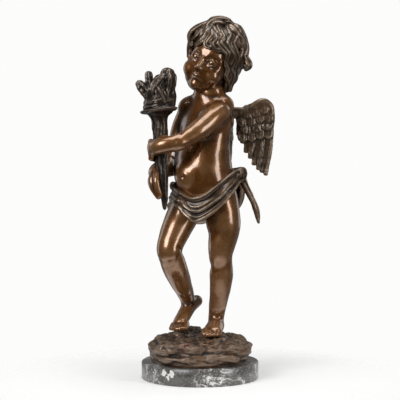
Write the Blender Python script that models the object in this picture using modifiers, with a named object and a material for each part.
"""A patinated bronze cupid with a torch, on a round marble plinth.

The cupid, its wings, drapery, torch and the rock under its feet are one casting.
It stands on a separate turned marble disc. Units are metres, +Z is up, the origin is the centre
of the disc's underside, and -Y is the side that the photograph shows.
"""

import math
import random

import bmesh
import bpy
import numpy as np
from mathutils import Matrix, Vector, noise

# Driving sizes, in metres
FIGURE_HEIGHT = 0.404  # from the sole of the standing foot to the crown of the hair
PLINTH_THICKNESS = 0.022
PLINTH_MARGIN = 0.0103  # how far the marble reaches past the rock, at either side
PLINTH_ROUNDING = 0.0012  # the eased edges of the marble
SEAT_GAP = 0.0003  # between the marble and the rock that rests on it

# The casting is laid out on a figure 404 units tall: one unit of it, in metres
UNIT = FIGURE_HEIGHT / 404

# The clay is blended on a fine grid, then cut down to broad facets
GRID = 1.25 * UNIT
CAST_TRIANGLES = 8600
SMOOTHING = 0.6  # the share of the way to its neighbours that a point moves in one round
PLINTH_SIDES = 72

# The pose, in units above the marble: x to the viewer's right, y away from the viewer
HEAD_CENTRE = (16.0, 0.0, 381.5)
HEAD_SIZE = 0.9  # of the head that the forms below lay out
HEAD_TILT = 25.0  # degrees, crown towards the cupid's left shoulder
HEAD_TURN = 22.0  # degrees, face towards the torch
HEAD_LIFT = -12.0  # degrees, chin up
ROCK_HALF_WIDTH = 64.0
ROCK_FRONT = -71.0
ROCK_BACK = 62.0


def spline(rows, per_span):
    """A smooth run of rows through the given ones."""
    rows = np.asarray(rows, float)
    padded = np.vstack([2 * rows[0] - rows[1], rows, 2 * rows[-1] - rows[-2]])
    share = (np.arange(per_span) / per_span)[:, None]
    spans = []
    for a, b, c, d in zip(padded, padded[1:], padded[2:], padded[3:]):
        bend = 2 * a - 5 * b + 4 * c - d
        twist = 3 * b - a - 3 * c + d
        spans.append(b + 0.5 * ((c - a) * share + bend * share**2 + twist * share**3))
    spans.append(rows[-1:])
    return np.vstack(spans)


def sections(rows):
    """Rows of x, y, z, half width, half depth, turn. A short row is round and not turned."""
    whole = []
    for row in rows:
        depth = row[4] if len(row) > 4 else row[3]
        turn = row[5] if len(row) > 5 else 0.0
        whole.append((*row[:4], depth, turn))
    return np.array(whole, float)


def unit_rows(vectors):
    return vectors / np.maximum(np.linalg.norm(vectors, axis=1, keepdims=True), 1e-9)


def add_loft(
    bm, rows, place=None, sides=16, per_span=4, flutes=None, facing=(0, -1, 0), around=None, dome=0.9
):
    """One closed, round-ended form through elliptical sections, added to bm.

    flutes is a count, a depth as a share of the radius, and turns along the length.
    The sections lie flat to facing, or to the direction away from the point around.
    """
    path = spline(sections(rows), per_span)
    centre = path[:, :3]
    along = unit_rows(np.gradient(centre, axis=0))
    if around is not None:
        facing = unit_rows(centre - np.asarray(around, float))
    across = np.cross(along, facing)
    weak = np.linalg.norm(across, axis=1) < 0.2
    across[weak] = np.cross(along[weak], (1.0, 0.0, 0.0))
    across = unit_rows(across)
    deep = np.cross(along, across)
    turn = np.radians(path[:, 5:6])
    across, deep = across * np.cos(turn) - deep * np.sin(turn), across * np.sin(turn) + deep * np.cos(turn)
    half = np.maximum(path[:, 3:5], 0.15)
    start, end = half[0].min() * dome, half[-1].min() * dome
    stack = [(centre[0] - along[0] * start * math.sin(a), 0, math.cos(a)) for a in (1.25, 0.85, 0.42)]
    stack += [(c, i, 1.0) for i, c in enumerate(centre)]
    stack += [(centre[-1] + along[-1] * end * math.sin(a), -1, math.cos(a)) for a in (0.42, 0.85, 1.25)]
    angle = np.arange(sides) * 2 * math.pi / sides
    rings = []
    for step, (middle, i, size) in enumerate(stack):
        wave = np.ones(sides)
        if flutes:
            count, depth, turns = flutes
            wave += depth * np.cos(count * angle + turns * 2 * math.pi * step / len(stack))
        spread = np.outer(np.cos(angle) * wave, across[i] * half[i, 0])
        spread += np.outer(np.sin(angle) * wave, deep[i] * half[i, 1])
        rings.append(middle + spread * size)
    poles = (centre[0] - along[0] * start, centre[-1] + along[-1] * end)
    matrix = place or Matrix.Identity(4)
    loops = [[bm.verts.new(matrix @ Vector(p) * UNIT) for p in ring] for ring in rings]
    for low, high in zip(loops, loops[1:]):
        for j in range(sides):
            k = (j + 1) % sides
            bm.faces.new((low[j], low[k], high[k], high[j]))
    for pole, loop, flip in ((poles[0], loops[0], True), (poles[1], loops[-1], False)):
        tip = bm.verts.new(matrix @ Vector(pole) * UNIT)
        for j in range(sides):
            pair = (loop[j], loop[(j + 1) % sides])
            bm.faces.new((tip, *(reversed(pair) if flip else pair)))


def add_ball(bm, centre, radii, place=None, turn=(0, 0, 0)):
    """An ellipsoid, with its radii in units and its turn in degrees about x, y and z."""
    radii = radii if isinstance(radii, tuple) else (radii,) * 3
    spin = Matrix.Identity(4)
    for angle, axis in zip(turn, "XYZ"):
        spin = Matrix.Rotation(math.radians(angle), 4, axis) @ spin
    local = Matrix.Translation(centre) @ spin @ Matrix.Diagonal((*radii, 1))
    matrix = Matrix.Scale(UNIT, 4) @ (place or Matrix.Identity(4)) @ local
    ball = bmesh.new()
    bmesh.ops.create_uvsphere(ball, u_segments=24, v_segments=14, radius=1, matrix=matrix)
    mesh = bpy.data.meshes.new("ball")
    ball.to_mesh(mesh)
    ball.free()
    bm.from_mesh(mesh)
    bpy.data.meshes.remove(mesh)


def object_from(bm, name):
    """A linked object of bm, whose faces all point out."""
    bmesh.ops.recalc_face_normals(bm, faces=bm.faces[:])
    mesh = bpy.data.meshes.new(name)
    bm.to_mesh(mesh)
    bm.free()
    obj = bpy.data.objects.new(name, mesh)
    bpy.context.scene.collection.objects.link(obj)
    return obj


def apply_modifiers(obj):
    """Turns what the modifiers make into the object's own mesh."""
    graph = bpy.context.evaluated_depsgraph_get()
    mesh = bpy.data.meshes.new_from_object(obj.evaluated_get(graph))
    obj.modifiers.clear()
    obj.data = mesh
    return obj


def fuse(obj):
    """Runs overlapping closed forms together into one skin, as clay pressed together."""
    remesh = obj.modifiers.new("Fuse", "REMESH")
    remesh.mode = "VOXEL"
    remesh.voxel_size = GRID
    return apply_modifiers(obj)


def points_of(mesh):
    co = np.empty(len(mesh.vertices) * 3)
    mesh.vertices.foreach_get("co", co)
    return co.reshape(-1, 3)


def normals_of(mesh):
    normal = np.empty(len(mesh.vertices) * 3)
    mesh.vertices.foreach_get("normal", normal)
    return normal.reshape(-1, 3)


def set_points(mesh, co):
    mesh.vertices.foreach_set("co", co.ravel())
    mesh.update()


def relax(obj, rounds):
    """Smooths the skin: each round moves every point towards the mean of its neighbours."""
    mesh = obj.data
    co = points_of(mesh)
    ends = np.empty(len(mesh.edges) * 2, np.int64)
    mesh.edges.foreach_get("vertices", ends)
    a, b = ends.reshape(-1, 2).T
    count = len(co)
    degree = np.maximum(np.bincount(a, minlength=count) + np.bincount(b, minlength=count), 1)
    for _ in range(rounds):
        mean = np.empty_like(co)
        for axis in range(3):
            total = np.bincount(a, co[b, axis], count) + np.bincount(b, co[a, axis], count)
            mean[:, axis] = total / degree
        co += (mean - co) * SMOOTHING
    set_points(mesh, co)
    return obj


def nearness(co, path, reach):
    """1 on the path, falling smoothly to 0 at that reach, for points in metres and a path in units."""
    path = np.asarray(path, float) * UNIT
    best = np.full(len(co), np.inf)
    near = np.all((co > path.min(0) - reach * UNIT) & (co < path.max(0) + reach * UNIT), axis=1)
    spot = co[near]
    gap = best[near]
    if len(path) == 1:
        path = np.vstack([path, path + 1e-6])
    for a, b in zip(path, path[1:]):
        run = b - a
        t = np.clip(((spot - a) @ run) / max(run @ run, 1e-18), 0, 1)
        gap = np.minimum(gap, np.linalg.norm(spot - a - t[:, None] * run, axis=1))
    best[near] = gap
    fall = np.clip(1 - best / (reach * UNIT), 0, 1)
    return fall * fall * (3 - 2 * fall)


def stroke(obj, path, reach, height, per_span=5, place=None):
    """A modelling stroke: raises the skin by height along the path, or presses it in."""
    line = spline(path, per_span) if len(path) > 2 else np.asarray(path, float)
    if place is not None:
        line = np.array([place @ Vector(p) for p in line])
    co = points_of(obj.data)
    co += normals_of(obj.data) * (nearness(co, line, reach) * height * UNIT)[:, None]
    set_points(obj.data, co)

# The forms. A row is x, y, z, half width, half depth, and a turn of the section in degrees
TRUNK = [
    (7, 3, 194, 36, 30, 18),
    (7, 3, 206, 42, 34, 22),
    (6, 1, 225, 38.5, 36, 28),
    (5, 0, 243, 36.5, 37, 33),
    (5, 2, 262, 35, 33, 37),
    (6, 4, 282, 34.5, 28, 40),
    (8, 5, 300, 35.5, 26, 40),
    (10, 5, 314, 32, 23, 40),
    (12, 5, 325, 26, 21, 40),
    (12, 4, 336, 22, 19.5, 35),
    (12.5, 3, 347, 19.5, 18, 30),
]
STANDING_LEG = [
    (27, -3, 203, 22, 26),
    (29.5, -6, 175, 22.5, 25),
    (29.9, -8, 161, 19.8, 22),
    (27.2, -9.5, 146, 17.2, 19.5),
    (25.8, -9, 136, 15.6, 18),
    (26.5, -6, 127, 14.4, 16.5),
    (27.6, -3.5, 118, 14.4, 16.5),
    (27, -2, 108, 15.3, 17.5),
    (25.6, 0, 90, 13.5, 15.5),
    (23.4, 1, 74, 12, 13.3),
    (21.3, 2, 60, 10.8, 11.8),
    (20.2, 3, 50, 10.2, 11.5),
    (20, 3, 45, 10, 11.5),
]
BENT_THIGH = [
    (-13, 8, 204, 20, 25),
    (-21.5, 0, 185, 21, 24),
    (-29.5, -8, 168, 19.5, 22.5),
    (-36, -16, 152, 17.5, 20),
    (-38.8, -21, 141, 16, 18),
    (-37, -20, 133, 15.3, 16.5),
]
BENT_SHIN = [
    (-37, -19, 138, 15, 16.5),
    (-34, -13, 125, 16, 17),
    (-30, -3, 113, 15.6, 17),
    (-25, 7, 100, 13.8, 15.5),
    (-20, 16, 87, 11.6, 13),
    (-16.5, 23, 76, 9.8, 11),
    (-14.5, 26, 69, 9.5, 10),
]
NEAR_ARM = [
    (24, -13, 314, 15.5, 15.5),
    (15, -23, 305.5, 14.8, 14.8),
    (6, -30, 297, 14, 14),
    (-2.5, -36, 290, 13.2),
    (-12, -41, 283, 12),
    (-21, -45, 277.8, 11),
    (-28, -48, 275, 11.2),
    (-38, -50.5, 273, 10.6),
    (-47, -50, 271, 10),
    (-53, -46, 270, 9.4),
    (-56, -41, 269, 8.8),
]
FAR_ARM = [
    (-13, 19, 314, 16.5),
    (-21, 23, 300, 14.6),
    (-26.5, 24, 286, 13.2),
    (-29.5, 22, 270, 12.3),
    (-33, 19, 255, 12),
    (-38, 11, 245, 11.6),
    (-44, 1, 243, 11),
    (-50, -10, 243, 10),
    (-55, -19, 242, 8.8),
    (-57.5, -26, 238, 8),
]
NEAR_FOOT = [
    (21, 9, 43, 10.5, 9.5),
    (20, -4, 44.5, 11.2, 10.5),
    (18, -16, 42.5, 12.5, 8.5),
    (15.5, -27, 40, 13, 6),
]
FAR_FOOT = [
    (-4, 35, 72, 8.5, 8.5),
    (-13, 25, 66, 10, 9),
    (-20, 12, 56, 10.5, 8),
    (-26, 1, 47, 11, 6.5),
]
NEAR_TOES = [
    (6, -39.5, 37.5, 4.6),
    (12, -38.5, 37, 3.7),
    (17, -36.5, 36.7, 3.5),
    (21.3, -34, 36.5, 3.3),
    (25, -30.5, 36.3, 3.1),
]
FAR_TOES = [
    (-19, -11, 41.5, 4.5),
    (-25, -12, 41, 3.7),
    (-29.6, -10.5, 40.5, 3.5),
    (-33.6, -7.8, 40.3, 3.3),
    (-37, -4, 40.2, 3.1),
]

# Chest, belly, buttocks, shoulder blades, shoulders and kneecaps: centre, radii and turn
SWELLINGS = [
    ((-10, -7.5, 299), (20, 8, 17), (0, 0, -38)),
    ((8.5, -16.5, 302), (16, 8, 14), (0, 0, -38)),
    ((-7, -12, 236), (26, 24, 27), (0, 0, 0)),
    ((28, 17, 192), (21, 20, 20), (0, 0, 0)),
    ((0, 26, 190), (21, 19, 19), (0, 0, 0)),
    ((30, 12, 304), (14, 14, 18), (0, 0, 0)),
    ((8, 26, 304), (15, 13, 18), (0, 0, 0)),
    ((29.5, -4, 324), (14.5, 14, 14), (0, 20, 0)),
    ((-13, 13, 323.5), (17, 13, 14), (0, -25, 0)),
    ((25.5, -15, 140), (12, 12.5, 12), (0, 0, 0)),
    ((-39.5, -25, 142), (12, 12, 12), (0, 0, 0)),
]

# Fingers and thumb of the near hand, closed round the torch, and of the far hand, at its tip
NEAR_FINGERS = [
    [(-60.5, -37, 276.5, 4.4), (-60, -26, 276, 4.4), (-54, -19.5, 275.5, 4.4), (-46, -20, 275.5, 4)],
    [(-60.5, -37, 269.5, 4.6), (-60, -26, 269, 4.6), (-54, -19.5, 268.5, 4.6), (-46, -20, 268.5, 4.1)],
    [(-60.5, -37, 262.5, 4.4), (-60, -26, 262, 4.4), (-54, -19.5, 261.5, 4.4), (-46, -20, 261.5, 4)],
    [(-60.5, -37, 256.5, 3.8), (-60, -26, 256, 3.8), (-54, -19.5, 255.5, 3.8), (-46, -20, 255.5, 3.4)],
    [(-52, -45, 277, 5), (-45, -43, 284, 4.6), (-40, -36, 288, 4.2)],
]
FAR_FINGERS = [
    [(-53.5, -37, 237, 4), (-54, -41.5, 228, 4.2), (-52, -42.5, 218, 3.8), (-48.5, -41.5, 209.5, 3)],
    [(-58, -31, 238, 4.4), (-60, -36.5, 228, 4.4), (-57, -38.5, 217, 4.1), (-51.5, -39, 207.5, 3.3)],
    [(-58.5, -25, 237, 4.3), (-61, -29, 228, 4.3), (-58, -32, 217.5, 3.9), (-52.5, -34.5, 209, 3.2)],
    [(-57, -19, 236, 4), (-59.5, -23, 228, 4), (-57.5, -27, 219, 3.6), (-52.5, -30, 212, 3)],
    [(-54, -18, 244, 5), (-46, -20, 249, 4.6), (-40, -26, 250, 4.2)],
]


def head_place():
    """From the head's own frame, with the face along -y and the crown along +z, to the figure's."""
    tilt = Matrix.Rotation(math.radians(HEAD_TILT), 4, "Y")
    turn = Matrix.Rotation(math.radians(-HEAD_TURN), 4, "Z")
    lift = Matrix.Rotation(math.radians(-HEAD_LIFT), 4, "X")
    return Matrix.Translation(HEAD_CENTRE) @ tilt @ turn @ lift @ Matrix.Scale(HEAD_SIZE, 4)


def make_body():
    """Trunk, arms, legs and feet, blended soft."""
    bm = bmesh.new()
    add_loft(bm, TRUNK, sides=28, dome=0.35)
    for rows in (STANDING_LEG, BENT_THIGH, BENT_SHIN):
        add_loft(bm, rows, sides=24)
    for rows in (NEAR_ARM, FAR_ARM):
        add_loft(bm, rows, sides=20)
    add_loft(bm, NEAR_FOOT, sides=20, facing=(0, 0, 1))
    add_loft(bm, FAR_FOOT, sides=20, facing=(-0.3, -0.7, 0.6))
    for centre, radii, turn in SWELLINGS:
        add_ball(bm, centre, radii, turn=turn)
    return relax(fuse(object_from(bm, "body")), 14)


def add_toes(bm, toes, back):
    """Each toe runs from its root, a little behind, to its round tip."""
    for x, y, z, r in toes:
        root = (x + back[0], y + back[1], z + back[2], r * 0.95)
        middle = (x + back[0] * 0.4, y + back[1] * 0.4, z + back[2] * 0.4 + 0.8, r * 0.9)
        add_loft(bm, [root, middle, (x, y, z, r, r * 0.9)], sides=10, facing=(0, 0, 1))


def add_hands(bm):
    """The near hand closes round the torch from the left, the far hand holds its tip."""
    add_ball(bm, (-57.5, -39, 269), (8.5, 11, 10.5))
    add_ball(bm, (-55.5, -27, 238), (7.5, 10.5, 9.5))
    for rows in NEAR_FINGERS + FAR_FINGERS:
        add_loft(bm, rows, sides=12)


def make_head():
    """Skull and face of a calm child, without hair."""
    place = head_place()
    bm = bmesh.new()
    add_ball(bm, (0, 5, 8), (32.5, 35, 33.5), place)
    add_ball(bm, (0, -10, -12), (28.5, 27, 33), place)
    add_ball(bm, (0, -13, 12), (26, 23.5, 22), place)
    for side in (-1, 1):
        add_ball(bm, (side * 14, -20, -21), (13.5, 14.5, 14), place)
        add_ball(bm, (side * 10.5, -16, -31), (12, 13.5, 11.5), place)
    add_ball(bm, (0, -23, -25), (12, 14.5, 11), place)
    add_ball(bm, (0, -29, -38.5), (8.5, 8, 8), place)
    add_ball(bm, (0, -12, -40), (18, 18, 9), place)
    add_loft(bm, [(0, 4, -22, 17, 18), (2, 4, -40, 15, 16)], place, sides=24)
    head = relax(fuse(object_from(bm, "head")), 7)
    for side in (-1, 1):
        socket = [(side * 9, -37, -1.5), (side * 13.5, -36, -1), (side * 18, -33, -2)]
        stroke(head, socket, 9.5, -3.4, place=place)
    return head


# The face's features, at the cupid's left; the other side mirrors them
UPPER_LID = [(6.2, -31, -3), (9, -34, 0.8), (13, -35, 2.2), (17, -33, 0.8), (20.2, -28.8, -3)]
LOWER_LID = [(6.4, -31, -3.6), (10, -33.6, -6), (14, -33.6, -6.6), (20, -28.8, -3.6)]
BROW = [(5.5, -34, 7.5), (11.5, -34.4, 10), (18, -31, 8.6), (23, -25.8, 5.4)]
EAR_RIM = [
    (32.5, -3, -15),
    (34.5, -3, -6),
    (37, 0, 0),
    (38.5, 6, 2),
    (38.5, 10.5, -3),
    (36.5, 8, -12),
    (33.5, 2, -19),
]
NOSE = [(0, -34.5, 2, 3, 3), (0, -37.3, -5, 3.1, 3.1), (0, -40, -11, 3.9, 3.6), (0, -40.4, -13.4, 4.1, 3.3)]
UPPER_LIP = [
    (-7.2, -34.6, -24.6, 1.2),
    (-3.3, -37.2, -23.4, 1.7),
    (0, -37.6, -24, 1.6),
    (3.3, -37.2, -23.4, 1.7),
    (7.2, -34.6, -24.6, 1.2),
]
LOWER_LIP = [(-5.5, -34.8, -26.8, 1.3), (0, -37, -27.8, 2), (5.5, -34.8, -26.8, 1.3)]


def add_features(bm):
    """Nose, eyes with their lids, brows, lips and ears."""
    place = head_place()
    add_loft(bm, NOSE, place, sides=14)
    add_loft(bm, UPPER_LIP, place, sides=10)
    add_loft(bm, LOWER_LIP, place, sides=10)
    for side in (-1, 1):
        add_ball(bm, (side * 3.9, -37, -14.2), (2.9, 3.2, 2.6), place)
        add_ball(bm, (side * 12.8, -26.6, -2), 6.9, place)
        for line, r in ((UPPER_LID, 1.2), (LOWER_LID, 1.0), (BROW, 1.9), (EAR_RIM, 2.3)):
            add_loft(bm, [(side * x, y, z, r) for x, y, z in line], place, sides=8)
        add_ball(bm, (side * 32.5, 3, -9), (4.5, 6, 8), place)


# Locks of hair in the head's frame, as x, y, z, radius: quiff, brow, temple, cheek and neck
LOCKS = [
    [(2.4, 5.4, 61.6, 3.7), (-8.5, 0.4, 57.9, 4.4), (-18.5, -4.4, 51.7, 4.4), (-21.6, -6.3, 43.4, 3.9),
     (-10.9, -15.5, 42.3, 3.5), (-4.8, -9, 47.9, 2.8)],
    [(11, 8.9, 56.6, 3.2), (1.8, 4.9, 55.7, 4.2), (-7.7, 1.6, 50.5, 4.2), (-3.1, -16, 43.7, 3.7),
     (5.5, -20.1, 39.6, 3)],
    [(-22.4, -6.3, 51.6, 3.5), (-28, -9.5, 40.8, 3.9), (-34.4, -13.2, 32.5, 3.9), (-38.6, -15.9, 23.6, 3.7),
     (-37, -15.8, 15.7, 3.2), (-32.6, -14.2, 8.9, 2.3)],
    [(-18.4, -4.5, 47.5, 3.5), (-20.7, -12.7, 38.9, 3.7), (-26.6, -14.4, 31, 3.7),
     (-26.3, -18.8, 23.7, 3.5), (-32.5, -13.5, 16.1, 3.2), (-28.9, -17.9, 8.6, 2.1)],
    [(-9.5, -13.3, 44.4, 3.5), (-12, -21.3, 35.8, 3.7), (-10.2, -25.8, 29.1, 3.5), (-14.2, -27.3, 20.5, 3),
     (-18.4, -26.2, 13.4, 2.1)],
    [(-10.3, -7.4, 47.4, 3.5), (-6.3, -21.3, 37.9, 3.7), (-0.5, -25.5, 32.7, 3.7), (-2.9, -29.2, 23.2, 3.5),
     (-1.8, -30.3, 17.9, 3), (4.7, -30.1, 17.6, 2.1)],
    [(0.4, -14.3, 45.2, 3.5), (2.5, -23.8, 35.4, 3.7), (8.6, -25.6, 30.5, 3.7), (5.6, -29.2, 22.2, 3.5),
     (11.8, -28.5, 18.1, 3), (18.1, -25.8, 19.2, 2.5), (17.7, -24.6, 24.9, 1.9)],
    [(-2.2, -0.1, 51, 3.5), (6.8, -17.7, 41.6, 3.9), (14.9, -19.8, 36.1, 3.9), (14, -24.9, 28.4, 3.7),
     (21.7, -22.8, 22.9, 3.5), (28.1, -18.6, 18.3, 3), (28.4, -18.6, 9.6, 2.1)],
    [(0.6, 4.3, 55.2, 3.5), (9.7, -10.6, 46.1, 4.2), (18.9, -11.9, 40.9, 4.2), (20.3, -20, 31.1, 3.9),
     (27.1, -18, 23.8, 3.7), (33.3, -12, 17.7, 3.5), (32.9, -12.4, 7.2, 2.3)],
    [(8.3, 7.6, 52.7, 3.5), (17.5, -5.7, 45.1, 4.2), (24.7, -3.5, 40.9, 4.2), (27, -13.7, 31.2, 3.9),
     (33.1, -9.9, 23.7, 3.7), (37.1, -4, 15.2, 3.5), (35.7, -5.3, 4.2, 3), (36, 7.1, -2.5, 2.1)],
    [(16.1, 10.7, 50.1, 3.5), (22.9, 8.3, 44, 3.9), (27.6, -7.2, 36.1, 3.9), (33.2, 0.3, 31.7, 3.9),
     (37.2, 6.3, 23.3, 3.9), (38.4, 2.1, 13.1, 3.5), (39.7, 16.9, 5.4, 2.8)],
    [(21.5, 12.8, 46.6, 3.2), (27.2, 14.8, 40.3, 3.5), (32.2, 14.5, 32.3, 3.7), (37.1, 8.2, 23.4, 3.9),
     (44, 12, 16.5, 4.9), (49.6, 12, 10.5, 4.9), (46.6, 12, 4, 3.2)],
    [(28.3, -18.9, 14, 2.8), (28.2, -17.9, 5.2, 3.2), (31.9, -9.1, -1.9, 3.5), (29.5, -6.2, -11.5, 3.2),
     (33.4, 2.2, -18.7, 2.8), (30.9, 7.8, -26.9, 2.1)],
    [(33.8, -11.6, 12.1, 3), (33.5, -8.8, 1.7, 3.5), (35.6, 3.7, -5.8, 3.7), (34.8, 4.4, -16.5, 3.5),
     (33.9, 10.8, -25.7, 3.2), (35.4, 10.6, -31.1, 2.5)],
    [(37.8, -1.2, 14.2, 3), (37.4, 3.6, 3.9, 3.5), (36.5, 8.5, -5.2, 3.5), (35.9, 12.3, -14.3, 3.2),
     (33.2, 11.6, -22.9, 2.8)],
    [(36, 12, 2, 4.4), (36, 12, -12, 4.2), (34.5, 10.5, -22, 4), (36, 10, -31, 3.2)],
    [(28, 8, -12, 6), (29, 8, -24, 6), (31, 8, -33, 4.5)],
    [(5, 13, 56, 5), (14, 15, 52, 5), (22, 18, 45, 5), (28, 20, 36, 4)],
    [(33, 12, 30, 5), (36, 13, 16, 5), (34, 15, 0, 5), (31.5, 15, -14, 5), (27, 14, -26, 4)],
    [(28, 22, 26, 5.5), (31, 22, 8, 5.5), (29, 23, -10, 5.5), (25, 22, -24, 4.5)],
    [(14, 31, -2, 7), (14, 32, -18, 7), (12, 30, -34, 4.5)],
    [(-3, 33, -2, 7), (-2, 34, -20, 7), (-4, 31, -35, 4.5)],
    [(-19, 30, -2, 7), (-18, 31, -18, 7), (-16, 28, -32, 4.5)],
    [(-31, 22, 4, 6.5), (-33, 20, -10, 6), (-30, 18, -22, 4)],
    [(-34, -6, 30, 5), (-38, -3, 18, 5.5), (-38, 0, 4, 5), (-36, 4, -8, 4)],
]


def on_cap(azimuth, elevation, out):
    """A point on the cap of hair: degrees from the face towards the cupid's left, degrees up."""
    a, e = math.radians(azimuth), math.radians(elevation)
    flat = math.cos(e)
    side, depth, rise = 36.5 * flat * math.sin(a), 35 * flat * math.cos(a), 38 * math.sin(e)
    return (side * out, 6 - depth * out, 13 + rise * out)


def add_lock(bm, start, end, width, wave, phase, rise, curl):
    """A wavy, tapering lock of hair along the cap, from start to end."""
    rows = []
    for i in range(7):
        t = i / 6
        azimuth = start[0] + (end[0] - start[0]) * t + wave * math.sin(6.5 * t + phase)
        elevation = start[1] + (end[1] - start[1]) * t
        out = 1 + rise * math.sin(math.pi * t) + curl * t**3
        size = width * (0.45 + 0.55 * math.sin(math.pi * min(1, 0.25 + 0.85 * t)))
        rows.append((*on_cap(azimuth, elevation, out), size, size * 0.62))
    add_loft(bm, rows, head_place(), sides=12, around=(0, 6, 5))


def add_hair(bm):
    """A cap, the locks that frame the face, and rows of locks over the back of the head."""
    place = head_place()
    add_ball(bm, (0, 7, 18), (37.5, 36, 33.5), place)
    add_ball(bm, (0, 13, -6), (31, 25, 29), place)
    add_ball(bm, (-20, 0, 27), (21, 22, 19), place)
    for rows in LOCKS:
        add_loft(bm, [(x, y, z, r, r * 0.8) for x, y, z, r in rows], place, sides=12, around=(0, 6, 5))
    dice = random.Random(4)
    for azimuth in range(100, 296, 18):
        start = (azimuth + dice.uniform(-8, 8), 66 + dice.uniform(-4, 4))
        end = (azimuth + dice.uniform(-6, 6), -26 + dice.uniform(-6, 6))
        add_lock(bm, start, end, 7.4, 7, dice.uniform(0, 6), 0.05, 0.05)
    for azimuth in range(90, 311, 30):
        start = (azimuth + dice.uniform(-8, 8), 84)
        end = (azimuth + 10, 34 + dice.uniform(-6, 6))
        add_lock(bm, start, end, 7.4, 9, dice.uniform(0, 6), 0.09, 0.03)


# A wing in its own frame, as distance out from its root and height above it
WING_ARM = [
    (-6, 0, 2, 8, 7),
    (10, 0, 3, 7.5, 5),
    (26, 0, 4.5, 7, 4.2),
    (38, 0, 12, 7.5, 4),
    (46.5, 0, 15.5, 6.8, 3.6),
    (52.5, 0, 9, 6.2, 3.2),
]
PRIMARIES = [
    ((56, -2), (48.5, -76)),
    ((51, -8), (43.6, -72.5)),
    ((45, -12), (38.8, -69)),
    ((39, -14), (33.2, -63)),
    ((33, -15), (28, -54.5)),
    ((27, -14), (22.6, -47)),
    ((21.5, -12), (18, -35)),
    ((16, -8), (13, -25)),
]
# Rows of covering scales: height, first and last distance out, count
COVERTS = [(4, 24, 46, 3), (-6, 17, 52, 4), (-16, 22, 50, 3), (-26, 19, 51.5, 4)]
LEFT_WING = ((36, 12, 312), 6)  # its root and its heading in degrees
RIGHT_WING = ((15, 26, 311), 62)


def wing_place(root, heading):
    """From the wing's own frame, x out from the root and z up, to the figure's."""
    return Matrix.Translation(root) @ Matrix.Rotation(math.radians(heading), 4, "Z")


def add_wing(bm, root, heading):
    """One wing: the arm along its upper edge, long primaries below, rows of scales over their roots."""
    place = wing_place(root, heading)
    add_loft(bm, WING_ARM, place, sides=16)
    add_ball(bm, (35, 0, -8), (24, 2.6, 24), place)
    for i, (start, tip) in enumerate(PRIMARIES):
        bow = 1.6 - 0.1 * i
        middle = ((start[0] + tip[0]) / 2 + bow, (start[1] + tip[1]) / 2)
        lean = 0.7 if i % 2 else -0.7
        rows = [(*start, 4.4, 2.4), (*middle, 4.7, 2.3), (*tip, 2.4, 1.7)]
        add_loft(bm, [(a, lean, h, w, d) for a, h, w, d in rows], place, sides=12, dome=1.2)
    for height, first, last, count in COVERTS:
        for k in range(count):
            a = first + (last - first) * k / (count - 1)
            h = height + 5.5 * math.exp(-(((a - 46) / 12) ** 2))
            for face in (-1, 1):
                add_ball(bm, (a, face * 2.2, h), (6.6, 2.6, 8.8), place, turn=(face * 13, 0, 0))


STEM = [
    (-43.4, -36, 194, 2),
    (-44, -35.3, 203, 3.4),
    (-45, -34, 216, 4.8),
    (-46.4, -32.5, 236, 6.4),
    (-48, -31.5, 262, 7.8),
    (-49.4, -31, 283, 8.9),
    (-50.5, -30.5, 301, 9.4),
    (-51, -30.2, 308, 11.5),
    (-51.2, -30, 313, 17),
]
PAN = [(-50.9, -30, 314.2, 22.5), (-51.2, -30, 316.6, 24)]
CUP = [
    (-51.1, -30, 317, 18.6),
    (-51, -30, 320.5, 18),
    (-50.9, -30, 324, 19),
    (-50.7, -30, 328, 18.2),
    (-50.6, -30, 331, 15),
]
FLAMES = [
    [(-44, -31, 326, 9.5), (-42, -30, 338, 8.4), (-40.4, -30, 349, 9.4), (-40.4, -30, 357, 10),
     (-40.6, -30, 361.4, 8.4)],
    [(-57, -27, 326, 7), (-61, -27.5, 341, 5.4), (-63.4, -28, 352, 5), (-64, -28, 361, 4.2)],
    [(-58, -32, 326, 7), (-66, -31.5, 337, 6.6), (-72.5, -31, 345, 6), (-75.6, -31, 348.8, 4.6)],
    [(-60, -38, 328, 6), (-59, -41, 339, 6), (-53, -41, 349, 5.4), (-46, -38, 357, 4)],
    [(-46, -42, 325, 7), (-49, -43, 335, 6), (-55, -42, 343, 4.8), (-60, -39, 348, 3)],
    [(-52, -31, 326, 12), (-51, -30, 340, 11.5), (-50, -29, 349, 9.5), (-51, -28, 355, 6)],
    [(-48, -20, 326, 8), (-51, -18, 340, 6.4), (-50, -20, 352, 4)],
    [(-60, -22, 325, 6), (-64, -18, 337, 4.6), (-64, -19, 346, 3)],
    [(-38, -24, 325, 7), (-35, -20, 335, 5), (-36, -20, 345, 3.4)],
]


def add_torch(bm):
    """A fluted stem, a wide drip pan, a ringed cup and the flames."""
    add_loft(bm, STEM, sides=28, flutes=(7, 0.07, 0.2))
    add_loft(bm, PAN, sides=36, dome=0.1, per_span=3)
    add_loft(bm, CUP, sides=32, dome=0.3, per_span=3)
    for i, rows in enumerate(FLAMES):
        add_loft(bm, rows, sides=20, flutes=(4, 0.14, 0.2 if i % 2 else -0.2))


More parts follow.
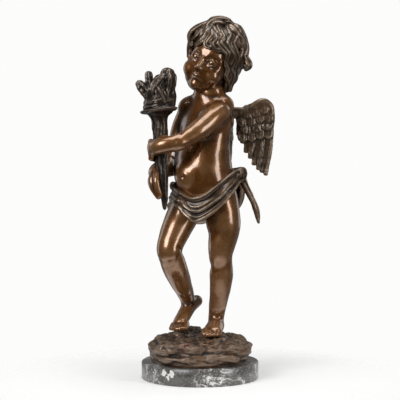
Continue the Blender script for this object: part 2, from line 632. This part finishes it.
# The cloth's upper and lower edges: loops round the hips, from the gather at the viewer's left
CLOTH_TOP = [
    (-32, 0, 221),
    (-24, -20, 213),
    (-10, -32, 206),
    (6, -36, 210),
    (22, -33.5, 222),
    (38, -23, 235),
    (49, -8, 241),
    (50, 10, 242),
    (38, 30, 238),
    (16, 40, 231),
    (-10, 38, 226),
    (-28, 22, 222),
    (-32, 0, 221),
]
CLOTH_HEM = [
    (-39, -4, 204),
    (-30, -22, 199),
    (-14, -34, 184),
    (-3, -36, 180),
    (18, -35, 192),
    (38, -24, 212),
    (50, -8, 228),
    (54, 10, 216),
    (47, 31, 194),
    (20, 43, 180),
    (-10, 43, 178),
    (-33, 27, 186),
    (-41, 4, 197),
]
CLOTH_SPREAD = [1.0, 0, 0, 0, 0, 0, 0, 0.5, 2.6, 3.6, 3.6, 2.8, 1.4]  # how much wider a fold is at each point

# Each fold: its place from the upper edge at 0 to the hem at 1, how proud and how wide it is
FOLDS = [
    (0.0, 4.9, 2.6),
    (0.12, 3.4, 2.6),
    (0.27, 2.0, 3.4),
    (0.45, 3.0, 3.4),
    (0.6, 4.7, 2.6),
    (0.74, 2.2, 3.0),
    (0.88, 3.8, 2.2),
    (1.0, 4.6, 2.4),
]
KNOT = [(46, -14, 232, 4.5), (50, -13, 240, 4.5), (55, -7, 241, 4.5), (55, -4, 234, 4.5), (50, -9, 229, 4)]
TAIL = [
    (53, -5, 233, 5, 3),
    (57, -4, 223, 4.6, 3),
    (62, -2, 213, 4.2, 2.8),
    (67, -1, 203, 3.8, 2.6),
    (71, 0, 193, 4, 2.8),
    (73.2, 0, 183, 3.4, 2.4),
    (74.6, 0, 174.5, 1.8, 1.8),
]


def add_drapery(bm):
    """Folds of cloth round the hips, gathered at one hip, knotted at the other, with a hanging end."""
    top, hem = np.array(CLOTH_TOP, float), np.array(CLOTH_HEM, float)
    for t, proud, width in FOLDS:
        line = top * (1 - t) + hem * t
        rows = [(*p, width + spread, proud) for p, spread in zip(line, CLOTH_SPREAD)]
        add_loft(bm, rows, sides=12, around=(6, 2, 205), per_span=5)
    add_loft(bm, KNOT, sides=12)
    add_ball(bm, (51, -7, 236), 6.5)
    add_ball(bm, (-34, -3, 221.5), (5, 7, 5.5))
    add_loft(bm, TAIL, sides=16, flutes=(5, 0.16, 0.1))


# The rock's rings, from its bed up: height, and how far each lies in at the sides and at the ends
ROCK_RINGS = [(-3, 4, 4), (4, 2.5, 2), (9, 1.5, 1.5), (15, 0.5, 3), (21, 1, 5), (26.5, 6, 12)]
ROCK_LUMPS = [
    ((-26, -4, 28), (20, 20, 9.5), (0, 0, 0)),
    ((17, -16, 25), (22, 30, 9), (0, 0, 0)),
    ((15, -33, 26.5), (18, 13, 7), (0, 0, 0)),
    ((-12, 36, 28), (24, 20, 9), (0, 0, 0)),
    ((-17, -42, 20), (36, 24, 7), (-10, 5, 8)),
    ((38, -32, 17), (20, 24, 7), (-8, -6, 20)),
    ((-47, -6, 25), (13, 22, 8), (0, -8, 0)),
    ((47, 4, 24), (12, 24, 7), (0, 10, 0)),
]


def add_ledge(bm, start, span, height, tilt, thick, proud):
    """A stratum that stands out along part of the rock's side. start and span are in radians."""
    y = (ROCK_FRONT + ROCK_BACK) / 2
    deep = (ROCK_BACK - ROCK_FRONT) / 2
    rows = []
    for i in range(9):
        t = i / 8
        angle = start + span * t
        swell = math.sin(math.pi * min(1, 0.12 + 0.8 * t)) ** 0.5
        out = ROCK_HALF_WIDTH - 4.6 + 1.2 * math.sin(5 * angle)
        x = out * math.cos(angle)
        z = height + tilt * (t - 0.5) + 0.8 * math.sin(7 * angle)
        rows.append((x, y + (deep - 5.4) * math.sin(angle), z, thick * swell, proud * swell))
    add_loft(bm, rows, sides=14, around=(0, y, height), per_span=5)


def make_rock():
    """The ground: a layered mound with a flat bed and a lumpy top."""
    bm = bmesh.new()
    y = (ROCK_FRONT + ROCK_BACK) / 2
    deep = (ROCK_BACK - ROCK_FRONT) / 2
    w = ROCK_HALF_WIDTH
    add_loft(bm, [(-1, y, z, w - side, deep - ends) for z, side, ends in ROCK_RINGS], sides=48, dome=0.08)
    dice = random.Random(11)
    for _ in range(13):
        start, span = dice.uniform(0, 2 * math.pi), dice.uniform(0.9, 2.3)
        add_ledge(bm, start, span, dice.uniform(4, 23), dice.uniform(-4, 4), dice.uniform(2.2, 3.8), 5)
    for _ in range(38):
        angle = dice.uniform(0, 2 * math.pi)
        far = math.sqrt(dice.uniform(0.02, 0.8))
        x0, y0 = far * (w - 8) * math.cos(angle), y + far * (deep - 9) * math.sin(angle)
        lift = 25.5 + (3 if y0 > 10 else 0) - 3 * far
        radii = (dice.uniform(7, 15), dice.uniform(7, 13), dice.uniform(3.5, 7))
        turn = (dice.uniform(-12, 12), dice.uniform(-12, 12), dice.uniform(0, 180))
        add_ball(bm, (x0, y0, lift), radii, turn=turn)
    for centre, radii, turn in ROCK_LUMPS:
        add_ball(bm, centre, radii, turn=turn)
    rock = relax(fuse(object_from(bm, "rock")), 3)
    co, normal = points_of(rock.data), normals_of(rock.data)
    rise = np.empty(len(co))
    for i, point in enumerate(co / UNIT):
        layers = noise.noise(Vector((point[0] / 34, point[1] / 34, point[2] / 7)))
        lumps = noise.noise(Vector(point / 12))
        rise[i] = 1.2 * layers + 1.3 * lumps
    rise *= np.clip((co[:, 2] / UNIT - 1) / 4, 0.15, 1)
    set_points(rock.data, co + normal * (rise * UNIT)[:, None])
    return rock


def join(objects, name):
    """Several meshes as one object."""
    bm = bmesh.new()
    for obj in objects:
        bm.from_mesh(obj.data)
        bpy.data.objects.remove(obj)
    mesh = bpy.data.meshes.new(name)
    bm.to_mesh(mesh)
    bm.free()
    whole = bpy.data.objects.new(name, mesh)
    bpy.context.scene.collection.objects.link(whole)
    return whole


def keep_largest(obj):
    """Drops every shell but the largest, so that no bubble stays inside."""
    bm = bmesh.new()
    bm.from_mesh(obj.data)
    bm.verts.ensure_lookup_table()
    seen, shells = set(), []
    for vert in bm.verts:
        if vert in seen:
            continue
        seen.add(vert)
        shell, open_ends = [vert], [vert]
        while open_ends:
            for edge in open_ends.pop().link_edges:
                for other in edge.verts:
                    if other not in seen:
                        seen.add(other)
                        shell.append(other)
                        open_ends.append(other)
        shells.append(shell)
    shells.sort(key=len)
    for shell in shells[:-1]:
        bmesh.ops.delete(bm, geom=shell, context="VERTS")
    bm.to_mesh(obj.data)
    bm.free()


def cut_flat(obj):
    """Cuts the casting off level at its bed and closes it."""
    bm = bmesh.new()
    bm.from_mesh(obj.data)
    geom = bm.verts[:] + bm.edges[:] + bm.faces[:]
    cut = bmesh.ops.bisect_plane(bm, geom=geom, plane_co=(0, 0, 0), plane_no=(0, 0, -1), clear_outer=True)
    edges = [e for e in cut["geom_cut"] if isinstance(e, bmesh.types.BMEdge)]
    bmesh.ops.holes_fill(bm, edges=edges, sides=0)
    bm.to_mesh(obj.data)
    bm.free()


def decimate(obj, triangles):
    """Broad facets: collapses the skin to about so many triangles."""
    count = sum(len(face.vertices) - 2 for face in obj.data.polygons)
    cut = obj.modifiers.new("Facets", "DECIMATE")
    cut.ratio = triangles / count
    return apply_modifiers(obj)


def make_casting():
    """The whole bronze: every form fused to one skin, then cut to facets."""
    body, head, rock = make_body(), make_head(), make_rock()
    bm = bmesh.new()
    add_toes(bm, NEAR_TOES, (0.5, 12, 3.5))
    add_toes(bm, FAR_TOES, (2, 10, 4.5))
    add_hands(bm)
    add_features(bm)
    add_hair(bm)
    add_wing(bm, *LEFT_WING)
    add_wing(bm, *RIGHT_WING)
    add_torch(bm)
    add_drapery(bm)
    details = object_from(bm, "details")
    casting = fuse(join([body, head, rock, details], "bronze_cupid"))
    keep_largest(casting)
    relax(casting, 2)
    decimate(casting, CAST_TRIANGLES)
    cut_flat(casting)
    casting.location.z = PLINTH_THICKNESS + SEAT_GAP
    return casting


def make_plinth():
    """The turned marble disc, with its edges eased."""
    bm = bmesh.new()
    radius = ROCK_HALF_WIDTH * UNIT + PLINTH_MARGIN
    turned = {"segments": PLINTH_SIDES, "radius1": radius, "radius2": radius, "depth": PLINTH_THICKNESS}
    bmesh.ops.create_cone(bm, cap_ends=True, **turned)
    bmesh.ops.translate(bm, verts=bm.verts, vec=(0, 0, PLINTH_THICKNESS / 2))
    plinth = object_from(bm, "marble_plinth")
    edge = plinth.modifiers.new("Eased edges", "BEVEL")
    edge.width = PLINTH_ROUNDING
    edge.segments = 2
    return apply_modifiers(plinth)


def give_material(obj, name, colour, metallic, roughness):
    """Its own named material, and smooth shading."""
    material = bpy.data.materials.new(name)
    material.use_nodes = True
    shader = material.node_tree.nodes["Principled BSDF"]
    shader.inputs["Base Color"].default_value = (*colour, 1)
    shader.inputs["Metallic"].default_value = metallic
    shader.inputs["Roughness"].default_value = roughness
    obj.data.materials.append(material)
    for face in obj.data.polygons:
        face.use_smooth = True


def main():
    for obj in list(bpy.data.objects):
        bpy.data.objects.remove(obj)
    whole = bpy.data.collections.new("cupid_statue")
    bpy.context.scene.collection.children.link(whole)
    casting, plinth = make_casting(), make_plinth()
    give_material(casting, "patinated_bronze", (0.17, 0.085, 0.035), 0.85, 0.33)
    give_material(plinth, "grey_marble", (0.16, 0.16, 0.165), 0.0, 0.25)
    for obj in (casting, plinth):
        bpy.context.scene.collection.objects.unlink(obj)
        whole.objects.link(obj)


main()
